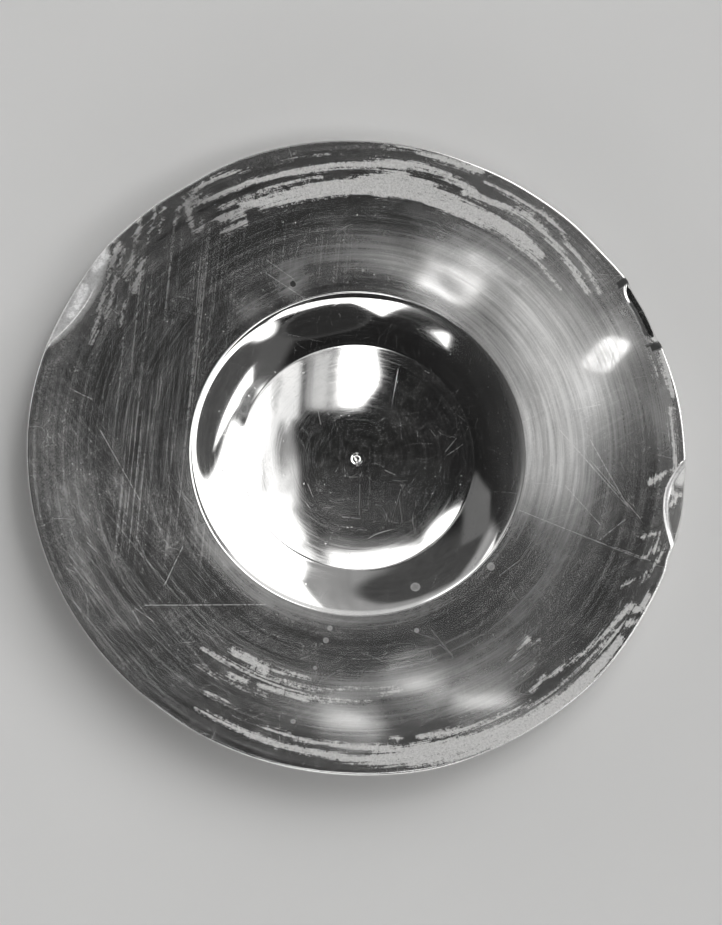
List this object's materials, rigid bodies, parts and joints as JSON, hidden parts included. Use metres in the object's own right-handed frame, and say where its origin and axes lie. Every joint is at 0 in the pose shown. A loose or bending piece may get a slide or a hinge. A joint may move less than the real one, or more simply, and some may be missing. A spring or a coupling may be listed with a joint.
{
  "type": "paten plate",
  "caption": "Round shallow plate raised from one silver sheet: wide gently dished rim, coved well wall and slightly hollow floor, with a few knocks on the rim edge.",
  "frame": {"origin": "centre of the flat resting spot under the well floor", "axes": "+Z is the plate's axis, up through the open side; +Y is the top of the plate when it stands on edge facing the viewer, +X is the viewer's right"},
  "size_m": [0.1648, 0.1647, 0.0098],
  "materials": {
    "silver": "hand-polished silver with fine circular and random scratches, and thin matte pale film left in patches near the rim edge"
  },
  "bodies": {
    "root": {"plate": "silver"}
  },
  "joints": []
}
